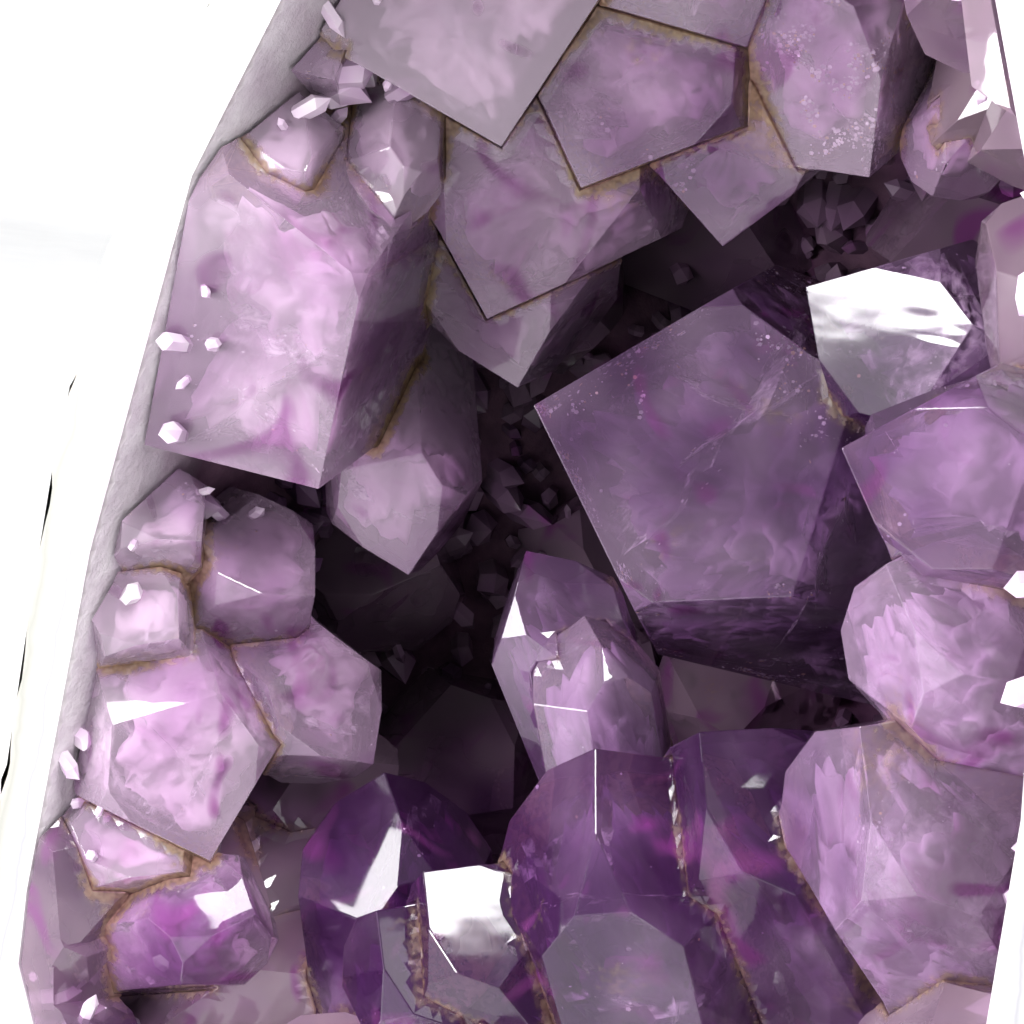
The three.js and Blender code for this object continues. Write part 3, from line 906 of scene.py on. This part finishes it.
# ---------------------------------------------------------------- rock shell
def rock_material():
    """Weathered basalt outside, painted pale near the rim as painted light; on the sawn faces, bands from the rind to
    white quartz; a dark violet wall inside, painted pale near the rim as painted light from the opening.
    """
    made, tree, where, surface, out = new_material("rock")
    wide = fog(tree, where, 45, 4)
    fine = fog(tree, where, 520, 5, rough=0.7)
    rind = ramp(tree, wide, [(0.32, srgb(74, 66, 58)), (0.48, srgb(98, 88, 76)), (0.62, srgb(116, 104, 90)),
                             (0.72, srgb(92, 98, 84))])
    rind = mix_colour(tree, math_node(tree, "MULTIPLY", spread(tree, fine, 0.40, 0.66), 0.75), rind,
                      srgb(54, 48, 43))
    rust = math_node(tree, "MULTIPLY", spread(tree, fog(tree, where, 110, 3), 0.55, 0.70), 0.6)
    rind = mix_colour(tree, rust, rind, srgb(126, 92, 62))
    waved = math_node(tree, "ADD", attribute(tree, "band"),
                      math_node(tree, "MULTIPLY", math_node(tree, "SUBTRACT", fog(tree, where, 120, 3), 0.5), 0.35))
    bands = ramp(tree, waved, [(0.0, srgb(198, 188, 196)), (0.22, srgb(176, 164, 174)), (0.30, srgb(206, 200, 204)),
                               (0.46, srgb(188, 182, 186)), (0.52, srgb(150, 150, 154)), (0.60, srgb(190, 186, 188)),
                               (0.72, srgb(170, 166, 164)), (0.84, srgb(150, 150, 144)), (0.94, srgb(176, 170, 164))])
    dark = ramp(tree, fog(tree, where, 240, 3), [(0.3, srgb(72, 46, 66)), (0.7, srgb(118, 86, 106))])
    pale = ramp(tree, fog(tree, where, 300, 3), [(0.3, srgb(208, 196, 206)), (0.7, srgb(236, 230, 234))])
    # Painted light: the inside wall is painted pale near the sawn rim, as lit by the light coming in at the opening;
    # deeper in, it keeps its dark violet.
    inner = mix_colour(tree, attribute(tree, "near_rim"), dark, pale)
    # The rind turns pale grey near the sawn rim. That part is painted light: the rind washed out by the bright light
    # there. Away from the rim, noise patches of pale weathering remain.
    weathering_and_rim_light = math_node(tree, "ADD", attribute(tree, "near_rim"),
                     math_node(tree, "MULTIPLY", math_node(tree, "SUBTRACT", wide, 0.5), 0.8))
    rind = mix_colour(tree, spread(tree, weathering_and_rim_light, 0.2, 0.75), rind, srgb(184, 178, 172))
    colour = mix_colour(tree, attribute(tree, "inside"), rind, inner)
    cut = attribute(tree, "sawn")
    join(tree, mix_colour(tree, cut, colour, bands), surface.inputs["Base Color"])
    join(tree, math_node(tree, "SUBTRACT", 0.9, math_node(tree, "MULTIPLY", cut, 0.62)), surface.inputs["Roughness"])
    height = math_node(tree, "ADD", wide, math_node(tree, "MULTIPLY", fine, 0.7))
    height = math_node(tree, "MULTIPLY", height, math_node(tree, "SUBTRACT", 1.0, math_node(tree, "MULTIPLY", cut, 0.97)))
    join(tree, bump(tree, height, 0.8 * MM, 0.7), surface.inputs["Normal"])
    join(tree, surface.outputs[0], out.inputs["Surface"])
    return made


def rough_by(p):
    """How far the rind is worn in at a point: broad hollows, knobs and small holes."""
    broad = noise.fractal(p * 38, 0.7, 2.0, 2)
    knobs = abs(noise.noise(p * 120 + Vector((7, 2, 5))))
    holes = max(0.0, noise.noise(p * 330 + Vector((1, 8, 3))) - 0.25)
    return 0.9 * MM * (0.5 + 0.5 * broad) + 1.0 * MM * knobs + 0.9 * MM * holes


def rock_piece():
    bm = merged(ROCK, math.radians(0.3))
    refine(bm, ROCK_STEP)
    bm.normal_update()
    centre = hollow_centre()
    mesh = bpy.data.meshes.new("rock_shell_rough")
    sawn, inside = [], []
    outer = bmesh.new()
    for f in bm.faces:
        middle = f.calc_center_median()
        flat_front = middle.y < FRONT_Y + 0.02 * MM
        if not flat_front and middle.z > 0.02 * MM and f.normal.dot(middle - centre) > 0:
            outer.faces.new([outer.verts.new(v.co) for v in f.verts])
    skin = BVHTree.FromBMesh(outer)
    outer.free()
    bm.verts.ensure_lookup_table()
    moved = []
    for v in bm.verts:
        front = v.co.y < FRONT_Y + 0.02 * MM
        base = v.co.z < 0.02 * MM
        within = all(f.normal.dot(f.calc_center_median() - centre) < 0
                     for f in v.link_faces if f.calc_center_median().y > FRONT_Y + 0.02 * MM) and not base
        edge = any(f.calc_center_median().y < FRONT_Y + 0.02 * MM for f in v.link_faces)
        sawn.append(1.0 if (front or base) else 0.0)
        inside.append(1.0 if within and not front else 0.0)
        p = v.co.copy()
        if within:
            if not edge:
                p -= v.normal * 0.4 * MM * abs(noise.noise(p * 200))
        elif not (front and not edge):
            outward = v.normal.copy()
            if front:
                outward.y = 0
            if base:
                outward.z = 0
            if outward.length > 0.2 and not (front and all(f.normal.y < -0.9 for f in v.link_faces)) \
                    and not (base and all(f.normal.z < -0.9 for f in v.link_faces)):
                p -= outward.normalized() * rough_by(p)
        moved.append(p)
    for v, p in zip(bm.verts, moved):
        v.co = p
    for f in bm.faces:
        f.smooth = f.calc_center_median().y > FRONT_Y + 0.02 * MM and f.calc_center_median().z > 0.02 * MM
    bm.to_mesh(mesh)
    bm.free()
    co = coordinates(mesh)
    points = [Vector(p) for p in co]
    to_skin = np.array([skin.find_nearest(p)[3] for p in points])
    add_values(mesh, "sawn", sawn)
    add_values(mesh, "inside", inside)
    add_values(mesh, "band", np.clip(1 - to_skin / BAND_WIDTH, 0, 1))
    # near_rim: closeness to the sawn front, where the rind and the inside wall are painted pale as painted light from
    # the opening
    add_values(mesh, "near_rim", np.clip(1 - (co[:, 1] - FRONT_Y) / (14 * MM), 0, 1))
    return new_piece("rock_shell_rough", mesh, rock_material(), "rock", ROCK)


rock_piece()


# ---------------------------------------------------------------- stage
def stage_floor():
    bm = bmesh.new()
    across, back, rise, bend = 3.0, 1.6, 2.4, 0.5
    profile = [(-2.5, 0.0), (back - bend, 0.0)]
    for k in range(1, 13):
        turn = k / 12 * math.pi / 2
        profile.append((back - bend + bend * math.sin(turn), bend - bend * math.cos(turn)))
    profile.append((back, rise))
    rows = [[bm.verts.new((x, y, z - 0.0002)) for x in (-across, across)] for y, z in profile]
    for a, b in zip(rows, rows[1:]):
        bm.faces.new((a[0], a[1], b[1], b[0]))
    mesh = bpy.data.meshes.new("studio_floor")
    bm.to_mesh(mesh)
    bm.free()
    made = bpy.data.objects.new("studio_floor", mesh)
    bpy.context.scene.collection.objects.link(made)
    material, tree, where, surface, out = new_material("studio_paper")
    colour = ramp(tree, fog(tree, where, 30, 2), [(0.3, (0.78, 0.78, 0.79)), (0.7, (0.82, 0.82, 0.825))])
    join(tree, colour, surface.inputs["Base Color"])
    surface.inputs["Roughness"].default_value = 0.9
    join(tree, surface.outputs[0], out.inputs["Surface"])
    mesh.materials.append(material)
    for f in mesh.polygons:
        f.use_smooth = True


def camera():
    azimuth, rise, roll, distance, field = math.radians(30), math.radians(12), math.radians(-7), 0.200, 0.092
    target = Vector((-8.06, -22.71, 77.0)) * MM
    look = Vector((-math.sin(azimuth) * math.cos(rise), math.cos(azimuth) * math.cos(rise), -math.sin(rise)))
    right = Vector((math.cos(azimuth), math.sin(azimuth), 0))
    up = right.cross(look)
    right, up = (right * math.cos(roll) - up * math.sin(roll), right * math.sin(roll) + up * math.cos(roll))
    data = bpy.data.cameras.new("camera")
    data.sensor_width = 36
    data.lens = 36 * distance / field
    data.clip_start = 0.01
    data.clip_end = 20
    made = bpy.data.objects.new("camera", data)
    place = target - look * distance
    made.matrix_world = Matrix(((right.x, up.x, -look.x, place.x), (right.y, up.y, -look.y, place.y),
                                (right.z, up.z, -look.z, place.z), (0, 0, 0, 1)))
    bpy.context.scene.collection.objects.link(made)
    bpy.context.scene.camera = made


def softbox(name, place, aim, width, height, power, colour=(1, 1, 1), spread=180):
    data = bpy.data.lights.new(name, "AREA")
    data.shape = "RECTANGLE"
    data.size, data.size_y = width, height
    data.energy = power
    data.color = colour
    data.spread = math.radians(spread)
    made = bpy.data.objects.new(name, data)
    made.location = place
    made.rotation_euler = (Vector(aim) - Vector(place)).to_track_quat("-Z", "Y").to_euler()
    bpy.context.scene.collection.objects.link(made)


def studio():
    scene = bpy.context.scene
    world = bpy.data.worlds.new("studio")
    world.use_nodes = True
    sky = world.node_tree.nodes["Background"]
    sky.inputs[0].default_value = (1, 1, 1, 1)
    sky.inputs[1].default_value = 0.45
    scene.world = world
    scene.view_settings.view_transform = "Standard"
    scene.view_settings.look = "None"
    scene.cycles.max_bounces = 4
    scene.cycles.transparent_max_bounces = 8
    scene.cycles.transmission_bounces = 3
    scene.cycles.diffuse_bounces = 2
    scene.cycles.glossy_bounces = 2
    scene.cycles.caustics_reflective = False
    scene.cycles.caustics_refractive = False
    scene.cycles.sample_clamp_indirect = 4
    centre = Vector((-8, -15, 77)) * MM

    def panel(name, azimuth, rise, distance, width, height, power, colour=(1, 1, 1)):
        turn, lift = math.radians(azimuth), math.radians(rise)
        way = Vector((math.sin(turn) * math.cos(lift), -math.cos(turn) * math.cos(lift), math.sin(lift)))
        softbox(name, centre + way * distance, centre, width, height, power, colour)

    panel("key_softbox", 57, 64, 0.9, 0.32, 0.32, 9)
    panel("top_softbox", -50, 64, 0.8, 0.3, 0.3, 4.5)
    panel("left_softbox", -40, 4, 1.0, 0.7, 0.4, 14)
    panel("front_card", -12, -2, 0.6, 0.16, 0.16, 0.18)
    panel("right_card", 75, 27, 0.5, 0.2, 0.2, 0.35)
    panel("roof_card", -8, 2, 1.0, 0.3, 0.1, 3)
    softbox("backdrop_lamp", (-0.9, 0.7, 1.1), (-1.2, 1.6, 0.25), 0.9, 0.5, 26, spread=100)


stage_floor()
camera()
studio()
